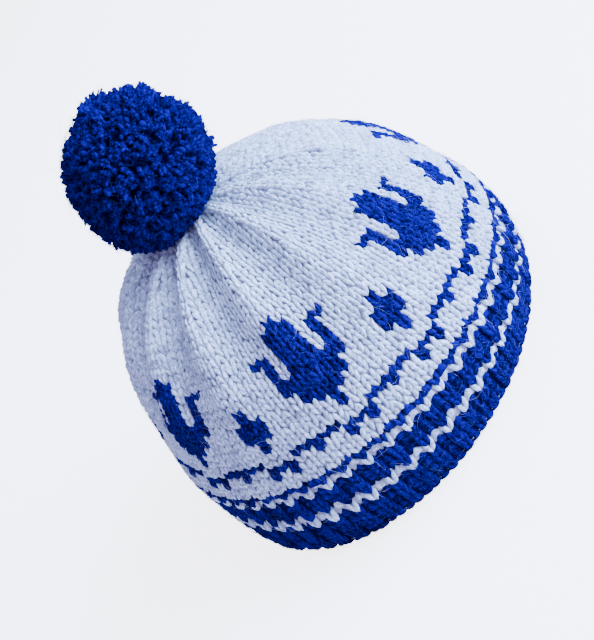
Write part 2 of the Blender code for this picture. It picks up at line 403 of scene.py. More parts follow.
@dataclass(frozen=True)
class HatForm:
    """The surface that the stitches lie on, with the solids' sizes. Azimuths run from -Y towards +X."""

    widest_radius: float = 0.088
    body_height: float = 0.1180
    axis_x: float = -0.001068
    fold_count: int = 14
    fold_depth: float = 0.0066
    fold_sharpness: float = 1.1
    fold_middle: float = 0.48
    fold_mean: float = 0.55
    fold_swing: float = 0.45
    fold_fades_at: float = 0.30
    fold_azimuth: float = math.radians(-15.4)
    deepest_folds: float = math.radians(-50.0)
    lean_angle: float = math.radians(5.0)
    lean_settles_at: float = 0.024
    pompom_radius: float = 0.0300
    pompom_seat_radius: float = 0.0130
    pompom_stretch: float = 1.07
    pompom_off_axis: tuple = (-0.0036, -0.0028)
    gap: float = 0.0003
    least_radius: float = 0.0006
    arc_samples: int = 1601
    photo_right: tuple = (0.580, -0.388, -0.717)
    photo_up: tuple = (0.815, 0.276, 0.510)
    # How far the pompom reaches in the photo: degrees from its right-hand side, then the share.
    pompom_outline: tuple = (
        (0, 1.00), (18, 1.02), (35, 1.045), (45, 0.99), (54, 1.035), (64, 0.95), (78, 0.945), (88, 1.035),
        (98, 1.01), (112, 0.985), (122, 1.01), (129, 1.095), (136, 1.01), (150, 1.01), (170, 1.01),
        (200, 0.975), (222, 0.945), (245, 1.00), (265, 1.03), (285, 1.02), (320, 1.01), (345, 1.01),
        (360, 1.00),
    )
    profile: tuple = (
        (0.000, 0.966), (0.035, 0.980), (0.100, 0.993), (0.190, 1.000), (0.310, 0.989), (0.420, 0.951),
        (0.540, 0.905), (0.660, 0.842), (0.760, 0.752), (0.850, 0.632), (0.920, 0.480), (0.968, 0.325),
        (0.992, 0.190), (1.000, 0.075),
    )
    fold_levels: tuple = (
        (0.00, 0.00), (0.46, 0.00), (0.56, 0.12), (0.66, 0.42), (0.76, 0.80), (0.86, 1.00), (0.94, 0.92),
        (0.98, 0.66), (1.00, 0.30),
    )
    # Out of round: azimuth in degrees, height share, spread of each, depth as a share of the widest radius.
    swells: tuple = (
        (-111.0, 0.66, 42.0, 0.20, -0.019),
        (-78.0, 0.00, 38.0, 0.13, 0.016),
        (75.0, 0.04, 38.0, 0.13, -0.010),
        (125.0, 0.80, 45.0, 0.16, -0.010),
    )

    def radius(self, share: np.ndarray) -> np.ndarray:
        """Outer radius at a share of the body's height, without folds."""
        return self.widest_radius * monotone(self.profile, share)

    def outward(self, share: np.ndarray) -> tuple[np.ndarray, np.ndarray]:
        """Unit normal of the profile as (radial, upward)."""
        step = 0.004
        low, high = np.maximum(0.0, share - step), np.minimum(1.0, share + step)
        run = self.radius(high) - self.radius(low)
        rise = (high - low) * self.body_height
        length = np.hypot(run, rise)
        return rise / length, -run / length

    def fold_relief(self, azimuth: np.ndarray, share: np.ndarray) -> np.ndarray:
        """Height of the gathered folds over the plain body."""
        phase = self.fold_count * (azimuth - self.fold_azimuth)
        ridge = (0.5 + 0.5 * np.cos(phase)) ** self.fold_sharpness - self.fold_middle
        strength = self.fold_mean + self.fold_swing * np.cos(azimuth - self.deepest_folds)
        room = np.minimum(1.0, self.radius(share) / (self.fold_fades_at * self.widest_radius))
        return self.fold_depth * strength * room * ridge * monotone(self.fold_levels, share)

    @property
    def wedge(self) -> float:
        """Angle from one fold's ridge to the next."""
        return TURN / self.fold_count

    def out_of_round(self, azimuth: np.ndarray, share: np.ndarray) -> np.ndarray:
        """How far the worn body stands out from, or sinks in under, the round profile."""
        total = 0.0
        for middle, height, turn_spread, height_spread, depth in self.swells:
            away = np.remainder(azimuth - math.radians(middle) + math.pi, TURN) - math.pi
            far = (away / math.radians(turn_spread)) ** 2 + ((share - height) / height_spread) ** 2
            total = total + depth * np.exp(-far)
        return self.widest_radius * total

    def lean(self, points: np.ndarray) -> np.ndarray:
        """Turns points about the Y axis by the lean that holds at their height, and centres the hat."""
        x, y, z = points.T
        angle = self.lean_angle * smooth(z / self.lean_settles_at)
        c, s = np.cos(angle), np.sin(angle)
        return np.stack([x * c + z * s + self.axis_x, y, z * c - x * s], axis=1)

    def arc_table(self) -> tuple[np.ndarray, np.ndarray]:
        """Shares of the height and the length of the profile up to each."""
        shares = 1.0 - np.linspace(1.0, 0.0, self.arc_samples) ** 2
        steps = np.hypot(np.diff(self.radius(shares)), np.diff(shares) * self.body_height)
        return shares, np.concatenate([[0.0], np.cumsum(steps)])

    def point(self, azimuth: np.ndarray, arc: np.ndarray, offset: np.ndarray) -> np.ndarray:
        """Places points on the leaning body.

        Args:
            azimuth: where round the hat, in radians.
            arc: length of the profile from the rim up, in metres.
            offset: distance outwards from the outer face, in metres.

        Returns:
            The points, one row each.
        """
        shares, arcs = self.arc_table()
        share = np.interp(arc, arcs, shares)
        radial, upward = self.outward(share)
        out = self.fold_relief(azimuth, share) + self.out_of_round(azimuth, share) + offset
        below = np.minimum(0.0, arc)
        radius = np.maximum(self.least_radius, self.radius(share) + radial * out)
        height = share * self.body_height + upward * out + below
        return self.lean(np.stack([radius * np.sin(azimuth), -radius * np.cos(azimuth), height], axis=1))

    def pompom_centre(self) -> np.ndarray:
        """Middle of the pompom, as the solid has it."""
        seat = self.body_height + self.gap
        rise = math.sqrt(self.pompom_radius**2 - self.pompom_seat_radius**2)
        return self.lean(np.array([[*self.pompom_off_axis, seat + rise]]))[0]

    def pompom_share(self, out: np.ndarray) -> np.ndarray:
        """How far the uneven pompom reaches in each outward direction, as a share of its radius."""
        right, up = out @ np.array(self.photo_right), out @ np.array(self.photo_up)
        bearings, shares = np.array(self.pompom_outline).T
        told = np.interp(np.degrees(np.arctan2(up, right)) % 360.0, bearings, shares)
        return 1.0 + (told - 1.0) * np.hypot(right, up) ** 3

    def stretch_pompom(self, points: np.ndarray) -> np.ndarray:
        """Makes the round pompom slightly long up the photo, as the solid is, about its own middle."""
        along = np.array(self.photo_up) / np.linalg.norm(self.photo_up)
        return points + (self.pompom_stretch - 1.0) * (points @ along)[..., None] * along


@dataclass(frozen=True)
class Pattern:
    """The knitting chart: stitches round, rows from the rim up, and which wool each stitch is."""

    round_stitches: int = 112
    repeat: int = 16
    rib_rows: int = 10
    plain_from: int = 30
    last_row: int = 53
    rib_pitch: float = 0.00354
    row_pitch: float = 0.00302
    rib_blue_rows: tuple = (0, 1, 2, 3, 5, 6, 7, 9)
    border_row: int = 12
    border_shift: int = 6
    border: tuple = (".....#.#", "..#..###", "#####...")
    motif_row: int = 16
    tulip: tuple = (
        "....#....", "....#....", "...###...", "..#####..", "..#####..", ".#######.", ".#######.",
        ".#.###.#.", ".#.###.#.", ".#.###.#.", "##.###.##", "...###...", "...###...", "....#....",
    )
    bud: tuple = (".#.", ".#.", "###", "###", "###", ".#.", ".#.")

    def arc(self, row: np.ndarray) -> np.ndarray:
        """Length of the profile from the rim up to a row."""
        above = np.maximum(0.0, row - self.rib_rows)
        return np.minimum(row, self.rib_rows) * self.rib_pitch + above * self.row_pitch

    def yarn(self, row: int, stitch: int) -> Yarn:
        """Which wool a stitch is.

        Args:
            row: rows from the rim up, from 0.
            stitch: stitches from the middle of the first tulip towards +X.

        Returns:
            The wool.
        """
        if row < self.rib_rows:
            return Yarn.BLUE if row in self.rib_blue_rows else Yarn.WHITE
        mark = "."
        if self.border_row <= row < self.border_row + len(self.border):
            line = self.border[row - self.border_row]
            mark = line[(stitch + self.border_shift) % len(line)]
        half = self.repeat // 2
        level = row - self.motif_row
        for chart, middle in ((self.tulip, 0), (self.bud, half)):
            if 0 <= level < len(chart):
                line = chart[level]
                across = (stitch - middle + half) % self.repeat - half + len(line) // 2
                if 0 <= across < len(line) and line[across] == "#":
                    mark = "#"
        return Yarn.BLUE if mark == "#" else Yarn.WHITE


# Strands


@dataclass
class Master:
    """A small mesh as arrays, ready to be repeated."""

    points: np.ndarray
    loops: np.ndarray
    sizes: np.ndarray
    strand: np.ndarray

    def axes(self) -> np.ndarray:
        """Its x, y and z, each as one row."""
        return self.points.T[:, None]


def deselect_all() -> None:
    """Leaves nothing selected."""
    bpy.ops.object.select_all(action="DESELECT")


def read_points(data: bpy.types.Mesh) -> np.ndarray:
    """A mesh's points, one row each."""
    points = np.empty(len(data.vertices) * 3)
    data.vertices.foreach_get("co", points)
    return points.reshape(-1, 3)


def write_points(data: bpy.types.Mesh, points: np.ndarray) -> None:
    """Moves a mesh's points."""
    data.vertices.foreach_set("co", points.reshape(-1).astype(np.float32))


def add_number(data: bpy.types.Mesh, key: str, values: np.ndarray) -> None:
    """Gives each point of a mesh a number for its material."""
    layer = data.attributes.new(key, "FLOAT", "POINT")
    layer.data.foreach_set("value", values.reshape(-1).astype(np.float32))


def smooth_faces(data: bpy.types.Mesh) -> None:
    """Shades all faces smooth."""
    data.polygons.foreach_set("use_smooth", np.ones(len(data.polygons), bool))


def unit(vectors: np.ndarray) -> np.ndarray:
    """The same directions with length 1."""
    return vectors / np.linalg.norm(vectors, axis=1)[:, None]


def random_directions(rng: np.random.Generator, out: np.ndarray) -> np.ndarray:
    """A random direction square to each outward one."""
    return unit(np.cross(out, rng.normal(0.0, 1.0, out.shape)))


def random_shift(rng: np.random.Generator, count: int) -> np.ndarray:
    """UV shifts that give each copy its own stretch of yarn: turns round it and millimetres along it."""
    return np.stack([rng.uniform(0, 1, count), rng.uniform(0, 300, count)], axis=1)


def ring_stretch(plane: str, first: float, second: float) -> tuple:
    """Puts two factors on the axes that a ring lies in."""
    return {"X": (1.0, first, second), "Y": (first, 1.0, second), "Z": (first, second, 1.0)}[plane]


def draw_strand(
    plane: str, path: Sequence[Vector], radii: Sequence[tuple], sides: int = 6, twist: float = 0.0
) -> Master:
    """Draws a length of yarn out of a ring with mesh operators, then reads it as arrays.

    Args:
        plane: the axis that the rings stand square to.
        path: middles of the rings.
        radii: half widths of each ring along its two axes.
        sides: corners of each ring.
        twist: turn of each ring against the one before, in radians.

    Returns:
        The closed strand.
    """
    quarter = math.pi / 2
    turned = {"X": (0.0, quarter, 0.0), "Y": (quarter, 0.0, 0.0), "Z": (0.0, 0.0, 0.0)}[plane]
    deselect_all()
    bpy.ops.mesh.primitive_circle_add(
        vertices=sides, radius=1.0, fill_type="NGON", location=path[0], rotation=turned
    )
    obj = bpy.context.active_object
    bpy.ops.object.transform_apply(location=True, rotation=True, scale=True)
    bpy.ops.object.mode_set(mode="EDIT")
    bpy.ops.mesh.select_all(action="SELECT")
    bpy.ops.transform.resize(value=ring_stretch(plane, *radii[0]), center_override=path[0])
    for before, after, old, new in zip(path, path[1:], radii, radii[1:]):
        bpy.ops.mesh.extrude_region_move(TRANSFORM_OT_translate={"value": after - before})
        grow = ring_stretch(plane, new[0] / old[0], new[1] / old[1])
        bpy.ops.transform.resize(value=grow, center_override=after)
        if twist:
            bpy.ops.transform.rotate(value=twist, orient_axis=plane, center_override=after)
    bpy.ops.mesh.select_all(action="SELECT")
    bpy.ops.mesh.normals_make_consistent(inside=False)
    bpy.ops.object.mode_set(mode="OBJECT")
    return read_master(obj, path)


def draw_thread(levels: Sequence[tuple], sides: int, twist: float = 0.0) -> Master:
    """A straight thread from 0 to 1 along Z, drawn from pairs of level and half width."""
    path = [Vector((0.0, 0.0, level)) for level, _ in levels]
    return draw_strand("Z", path, [(width, width) for _, width in levels], sides, twist)


def read_master(obj: bpy.types.Object, path: Sequence[Vector]) -> Master:
    """Reads a strand as arrays, with its UV map, and removes the object.

    Args:
        obj: the strand.
        path: the line that it follows.

    Returns:
        The arrays. The UV is turns round the strand and length along it.
    """
    data = obj.data
    points = read_points(data)
    loops = np.empty(len(data.loops), np.int64)
    data.loops.foreach_get("vertex_index", loops)
    sizes = np.empty(len(data.polygons), np.int64)
    data.polygons.foreach_get("loop_total", sizes)
    line = np.array(path, float)
    lengths = np.concatenate([[0.0], np.cumsum(np.linalg.norm(np.diff(line, axis=0), axis=1))])
    nearest = np.argmin(np.linalg.norm(points[:, None] - line[None], axis=2), axis=1)
    tangent = unit(np.gradient(line, axis=0))
    upright = abs(tangent[len(line) // 2, 2]) >= 0.8
    front = np.array([0.0, 1.0, 0.0] if upright else [0.0, 0.0, 1.0])
    side = unit(np.cross(tangent, front))
    up = np.cross(side, tangent)
    away = points - line[nearest]
    turns = np.arctan2((away * side[nearest]).sum(1), (away * up[nearest]).sum(1)) / TURN
    strand = np.stack([turns[loops], lengths[nearest][loops]], axis=1)
    # A face across the seam takes the turn after it, so that the map doesn't run back through it.
    for face in np.split(strand[:, 0], np.cumsum(sizes)[:-1]):
        face += np.where(face < face.max() - 0.5, 1.0, 0.0)
    bpy.data.objects.remove(obj, do_unlink=True)
    return Master(points, loops, sizes, strand)


def join_masters(parts: Sequence[Master]) -> Master:
    """Joins small meshes into one."""
    starts = np.cumsum([0] + [len(part.points) for part in parts])
    return Master(
        np.concatenate([part.points for part in parts]),
        np.concatenate([part.loops + start for part, start in zip(parts, starts)]),
        np.concatenate([part.sizes for part in parts]),
        np.concatenate([part.strand for part in parts]),
    )


def mirrored(part: Master) -> Master:
    """The same strand mirrored in X, with its faces turned back outwards."""
    faces = np.split(np.arange(len(part.loops)), np.cumsum(part.sizes)[:-1])
    order = np.concatenate([face[::-1] for face in faces])
    points = part.points * np.array([-1.0, 1.0, 1.0])
    return Master(points, part.loops[order], part.sizes, part.strand[order] * np.array([-1.0, 1.0]))


def repeat(
    name: str,
    master: Master,
    placed: np.ndarray,
    material: bpy.types.Material,
    shift: np.ndarray,
    numbers: dict[str, np.ndarray],
) -> bpy.types.Object:
    """Makes one joined mesh of many placed copies.

    Args:
        name: the piece's name.
        master: the mesh that is repeated.
        placed: its points in place, as copies x points x 3.
        material: the finish.
        shift: what is added to each copy's UV, as copies x 2.
        numbers: further values, as copies x points.

    Returns:
        The object, at the origin.
    """
    copies, count = placed.shape[:2]
    loops = (master.loops[None] + np.arange(copies)[:, None] * count).ravel()
    sizes = np.tile(master.sizes, copies)
    data = bpy.data.meshes.new(name)
    data.vertices.add(copies * count)
    write_points(data, placed)
    data.loops.add(len(loops))
    data.loops.foreach_set("vertex_index", loops.astype(np.int32))
    data.polygons.add(len(sizes))
    data.polygons.foreach_set("loop_start", (np.cumsum(sizes) - sizes).astype(np.int32))
    smooth_faces(data)
    uv = (master.strand[None] + shift[:, None]).reshape(-1).astype(np.float32)
    data.uv_layers.new(name="strand").data.foreach_set("uv", uv)
    for key, values in numbers.items():
        add_number(data, key, np.broadcast_to(values, (copies, count)))
    data.update(calc_edges=True)
    data.validate()
    data.materials.append(material)
    obj = bpy.data.objects.new(name, data)
    bpy.context.scene.collection.objects.link(obj)
    return obj


def dress(obj: bpy.types.Object, yarn: Yarn, *nodes: str) -> None:
    """Fixes a piece to the hat, in place of the solids that it stands for."""
    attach(obj, "root")
    if nodes:
        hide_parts(*nodes)
    obj.data.calc_loop_triangles()
    LOG.info("%s: %d triangles", obj.name, len(obj.data.loop_triangles))


# Knitted body


@dataclass
class StitchShapes:
    """The strands of the stitches that are repeated, ring by ring.

    Each ring is its place across in stitch widths, up in rows and outwards in millimetres, then its half
    widths: one as a share of the stitch's width, or of the row's height in a strand that lies across, and
    one outwards in millimetres.
    """

    width: float = 0.00494
    pitch: float = 0.00302
    leg: tuple = (
        (0.040, -0.25, -1.80, 0.07, 0.50),
        (0.145, 0.25, -0.55, 0.165, 0.95),
        (0.255, 0.80, 0.05, 0.232, 1.16),
        (0.350, 1.30, -0.20, 0.215, 1.02),
        (0.405, 1.82, -1.60, 0.085, 0.50),
    )
    rib_leg: tuple = (
        (0.035, -0.25, -1.60, 0.08, 0.55),
        (0.130, 0.26, -0.42, 0.180, 1.00),
        (0.230, 0.82, 0.06, 0.236, 1.18),
        (0.315, 1.34, -0.18, 0.220, 1.04),
        (0.365, 1.90, -1.50, 0.100, 0.55),
    )
    hump: tuple = (
        (-0.54, 0.72, -2.10, 0.22, 0.55),
        (-0.33, 1.18, -0.90, 0.48, 0.92),
        (0.00, 1.44, -0.38, 0.60, 1.15),
        (0.33, 1.18, -0.90, 0.48, 0.92),
        (0.54, 0.72, -2.10, 0.22, 0.55),
    )
    bead: tuple = (
        (-0.62, -0.16, -0.60, 0.22, 0.55),
        (-0.30, -0.04, 0.10, 0.36, 0.95),
        (0.00, 0.10, 0.32, 0.42, 1.10),
        (0.30, 0.24, 0.10, 0.36, 0.95),
        (0.62, 0.36, -0.60, 0.22, 0.55),
    )

    def _strand(self, plane: str, rings: tuple, unit_width: float) -> Master:
        """Draws one strand, then turns its metres into stitch widths and rows.

        Args:
            plane: the axis that its rings stand square to.
            rings: the rings.
            unit_width: what their first half width is a share of, in metres.

        Returns:
            The strand, with its UV map in turns and millimetres.
        """
        path = [Vector((x * self.width, y * self.pitch, z * MM)) for x, y, z, _, _ in rings]
        radii = [(first * unit_width, out * MM) for *_, first, out in rings]
        part = draw_strand(plane, path, radii)
        part.points = part.points / np.array([self.width, self.pitch, 1.0])
        part.strand = part.strand * np.array([1.0, 1000.0])
        return part

    def knit(self, rings: tuple) -> Master:
        """A V of two plump legs, each leaning outwards and tucked in at both ends."""
        leg = self._strand("Y", rings, self.width)
        return join_masters([leg, mirrored(leg)])

    def across(self, rings: tuple) -> Master:
        """A strand that lies across the stitch: a purl's hump or one bead of the cast-on edge."""
        return self._strand("X", rings, self.pitch)


class Place(NamedTuple):
    """Where one stitch goes: an azimuth, stitches on from there, its row and its lift outwards in metres."""

    home: float
    across: float
    row: float
    lift: float = 0.0


@dataclass
class KnittedBody:
    """All the stitches of the hat, laid out row by row."""

    form: HatForm
    pattern: Pattern
    wools: dict[Yarn, bpy.types.Material]
    shapes: StitchShapes = field(default_factory=StitchShapes)
    seed: int = 11
    purl_first: int = 1
    purl_drop: float = -0.0005
    edge_drop: float = -0.0006
    last_purl_lift: float = 0.0009
    last_knit_lift: float = 0.0004
    ridge_lift: float = 0.0003
    ridge_rows: float = 4.0
    ridge_half_width: float = 0.32
    swallowed_drop: float = -0.0003
    least_radius: float = 0.004
    # Spreads of the small unevenness, as shares, or in metres for the last.
    uneven_lean: float = 0.050
    uneven_width: float = 0.06
    uneven_legs: float = 0.07
    uneven_tone: float = 0.22
    uneven_across: float = 0.040
    uneven_up: float = 0.10
    uneven_out: float = 0.00018

    def wedge_stitches(self, row: np.ndarray) -> np.ndarray:
        """Stitches between one ridge and the next, as a smooth number that falls where the crown narrows."""
        start = self._radius_at_row(np.array([float(self.pattern.plain_from)]))[0]
        full = self.pattern.round_stitches / self.form.fold_count
        narrowed = full * np.minimum(1.0, self._radius_at_row(row) / start)
        return np.where(row <= self.pattern.plain_from, full, narrowed)

    def _radius_at_row(self, row: np.ndarray) -> np.ndarray:
        """Plain radius of the body at a row."""
        shares, arcs = self.form.arc_table()
        radius = self.form.radius(np.interp(self.pattern.arc(row), arcs, shares))
        return np.maximum(self.least_radius, radius)

    def lay(self, master: Master, places: list[Place], rng: np.random.Generator) -> tuple:
        """Puts copies of a stitch on the body.

        Args:
            master: the stitch.
            places: where the copies go.
            rng: the source of small unevenness.

        Returns:
            The points in place, the values that they carry, and the UV shift of each copy.
        """
        home, across, row, lift = np.array(places, float).T[..., None]
        copies = len(places)
        x, y, z = master.axes()
        lean = rng.normal(0.0, self.uneven_lean, (copies, 1))
        wide = 1.0 + rng.normal(0.0, self.uneven_width, (copies, 1))
        shift = rng.normal(0.0, 1.0, (copies, 3))
        tug = rng.normal(0.0, self.uneven_legs, (copies, 2))
        right_leg = x > 0.0
        x = x * wide + y * lean * 0.5 + shift[:, :1] * self.uneven_across
        y = y + shift[:, 1:2] * self.uneven_up + np.where(right_leg, tug[:, :1], tug[:, 1:])
        level = row + y
        azimuth = home + (across + x) * self.form.wedge / self.wedge_stitches(np.clip(level, 0.0, None))
        out = np.broadcast_to(z + lift + shift[:, 2:] * self.uneven_out, azimuth.shape)
        placed = self.form.point(azimuth.ravel(), self.pattern.arc(level).ravel(), out.ravel())
        placed = placed.reshape(copies, -1, 3)
        placed[..., 2] = np.maximum(placed[..., 2], LOWEST)
        # Each point's height in its stitch, from 0 at the bottom of the yarn to 1 at its top; the wool finish
        # paints shade on the lowest parts, between the stitches.
        depth = (z - z.min()) / (z.max() - z.min())
        tone = np.clip(0.5 + rng.normal(0.0, self.uneven_tone, (copies, 1)), 0.0, 1.0)
        return placed, {"depth": depth, "tone": tone}, random_shift(rng, copies)

    def piece(self, name: str, parts: list[tuple[Master, list[Place]]], yarn: Yarn, *nodes: str) -> None:
        """Builds and fixes one piece from stitches of one or more shapes.

        Args:
            name: the piece's name.
            parts: each shape with its places.
            yarn: the wool.
            nodes: the solids that the piece stands for.
        """
        rng = np.random.default_rng(self.seed + sum(map(ord, name)))
        made = []
        for master, places in parts:
            if places:
                placed, numbers, shift = self.lay(master, places, rng)
                made.append(repeat(name, master, placed, self.wools[yarn], shift, numbers))
        if len(made) > 1:
            deselect_all()
            for obj in made:
                obj.select_set(True)
            bpy.context.view_layer.objects.active = made[0]
            bpy.ops.object.join()
        made[0].name = made[0].data.name = name
        dress(made[0], yarn, *nodes)

    def stitch_azimuth(self, stitch: int) -> float:
        """Azimuth of a stitch's middle below the crown."""
        return self.form.fold_azimuth + stitch * TURN / self.pattern.round_stitches

    def build_band(self) -> None:
        """Builds the k1p1 band and its cast-on edge."""
        rows = {yarn: {kind: [] for kind in Stitch} for yarn in Yarn}
        for row in range(self.pattern.rib_rows):
            for stitch in range(self.pattern.round_stitches):
                purl = stitch % 2 == self.purl_first
                lift = self.purl_drop if purl else 0.0
                if row == self.pattern.rib_rows - 1:
                    lift = self.last_purl_lift if purl else self.last_knit_lift
                kind = Stitch.PURL if purl else Stitch.KNIT
                place = Place(self.stitch_azimuth(stitch), 0.0, row, lift)
                rows[self.pattern.yarn(row, stitch)][kind].append(place)
        edge = []
        for stitch in range(self.pattern.round_stitches):
            edge.append(Place(self.stitch_azimuth(stitch), 0.0, 0.0, self.edge_drop))
            if stitch % 2 == self.purl_first:
                rows[Yarn.BLUE][Stitch.PURL].append(edge[-1]._replace(row=-1.0, lift=self.purl_drop))
        shapes = self.shapes
        knit, hump, bead = shapes.knit(shapes.rib_leg), shapes.across(shapes.hump), shapes.across(shapes.bead)
        for name, yarn, *nodes in (("rib_blue", Yarn.BLUE, "ribbed_band"), ("rib_white", Yarn.WHITE)):
            parts = [(knit, rows[yarn][Stitch.KNIT]), (hump, rows[yarn][Stitch.PURL])]
            self.piece(name, parts, yarn, *nodes)
        self.piece("cast_on_edge", [(bead, edge)], Yarn.BLUE)

    def build_body(self) -> None:
        """Builds the plain knitting above the band with its border and motifs."""
        knit = self.shapes.knit(self.shapes.leg)
        places = {yarn: [] for yarn in Yarn}
        for row in range(self.pattern.rib_rows, self.pattern.plain_from):
            for stitch in range(self.pattern.round_stitches):
                places[self.pattern.yarn(row, stitch)].append(Place(self.stitch_azimuth(stitch), 0.0, row))
        self.piece("body_white", [(knit, places[Yarn.WHITE])], Yarn.WHITE, "crown")
        self.piece("border_and_motifs", [(knit, places[Yarn.BLUE])], Yarn.BLUE)

    def build_crown(self) -> None:
        """Builds the narrowing crown: plain stitches between the ridges and a raised column along each."""
        wedge = self.form.wedge
        places = []
        for row in range(self.pattern.plain_from, self.pattern.last_row):
            number = float(self.wedge_stitches(np.array([row + 1.0]))[0])
            share = min(1.0, (row - self.pattern.plain_from) / self.ridge_rows)
            for k in range(self.form.fold_count):
                ridge = self.form.fold_azimuth + k * wedge
                places.append(Place(ridge, 0.0, row, self.ridge_lift * share))
                for across in range(-3, 4):
                    room = 0.5 * number - self.ridge_half_width - abs(across)
                    if room > 0.0:
                        lift = self.swallowed_drop * share * (1.0 - min(1.0, room))
                        places.append(Place(ridge + 0.5 * wedge, across, row, lift))
        self.piece("crown_white", [(self.shapes.knit(self.shapes.leg), places)], Yarn.WHITE)


@dataclass
class InnerFabric:
    """The back of the knitting: one closed shell with purl bumps on its inner face, dyed by the chart."""

    form: HatForm
    pattern: Pattern
    outer_depth: float = 0.0008
    inner_depth: float = 0.0027
    bump: float = 0.00045
    points_across: int = 2
    points_up: int = 2
    # Where the purl bumps and the dye lie on the rows, and how each bump curves.
    first_row: float = 0.25
    wave: float = 0.22
    bump_mean: float = 0.7
    bump_swing: float = 0.3
    dye_shift: float = 0.3

    def build(self, wool: bpy.types.Material) -> None:
        """Builds and fixes the shell in the inner finish."""
        levels = self.pattern.last_row * self.points_up - 4
        obj = self._tube(self.pattern.round_stitches * self.points_across, levels)
        data = obj.data
        co = read_points(data)
        azimuth = np.arctan2(co[:, 0], -co[:, 1])
        row = (co[:, 2] + 0.5) * (levels / self.points_up) + self.first_row
        stitch = (azimuth - self.form.fold_azimuth) / TURN * self.pattern.round_stitches
        column = np.cos(TURN * stitch)
        ripple = np.cos(TURN * (row + self.wave * column)) * (self.bump_mean + self.bump_swing * column)
        arc = self.pattern.arc(row)
        dye = np.zeros(len(co))
        for i, (at, level) in enumerate(zip(np.rint(stitch), np.floor(row - self.dye_shift))):
            known = 0 <= level < self.pattern.plain_from
            dye[i] = known and self.pattern.yarn(int(level), int(at)) is Yarn.BLUE
        write_points(data, self.form.point(azimuth, arc, np.full(len(co), -self.outer_depth)))
        add_number(data, "dye", dye)
        self._close(obj, self.form.point(azimuth, arc, -self.inner_depth - self.bump * ripple))
        data.materials.append(wool)
        smooth_faces(data)
        dress(obj, Yarn.WHITE)

    def _tube(self, segments: int, levels: int) -> bpy.types.Object:
        """Makes an open tube of quads, one unit high, with a number of segments round and levels up."""
        deselect_all()
        bpy.ops.mesh.primitive_cylinder_add(
            vertices=segments, radius=1.0, depth=1.0, end_fill_type="NOTHING"
        )
        obj = bpy.context.active_object
        obj.name = obj.data.name = "inner_fabric"
        bpy.ops.object.mode_set(mode="EDIT")
        bpy.ops.mesh.select_all(action="DESELECT")
        bpy.ops.mesh.select_mode(type="EDGE")
        bpy.ops.object.mode_set(mode="OBJECT")
        height = read_points(obj.data)[:, 2]
        for edge in obj.data.edges:
            low, high = edge.vertices
            edge.select = abs(height[low] - height[high]) > 0.5
        bpy.ops.object.mode_set(mode="EDIT")
        bpy.ops.mesh.subdivide_edgering(number_cuts=levels - 1, interpolation="LINEAR")
        bpy.ops.mesh.select_all(action="SELECT")
        bpy.ops.mesh.normals_make_consistent(inside=False)
        bpy.ops.object.mode_set(mode="OBJECT")
        return obj

    def _close(self, obj: bpy.types.Object, inside: np.ndarray) -> None:
        """Closes the outer face into a shell, with each point's partner inside at the place given."""
        count = len(obj.data.vertices)
        solid = obj.modifiers.new("wall", "SOLIDIFY")
        solid.thickness = MM
        solid.offset = -1.0
        bpy.context.view_layer.objects.active = obj
        bpy.ops.object.modifier_apply(modifier=solid.name)
        co = read_points(obj.data)
        co[count:] = inside[: len(co) - count]
        write_points(obj.data, co)
        obj.data.update()


# Pompom


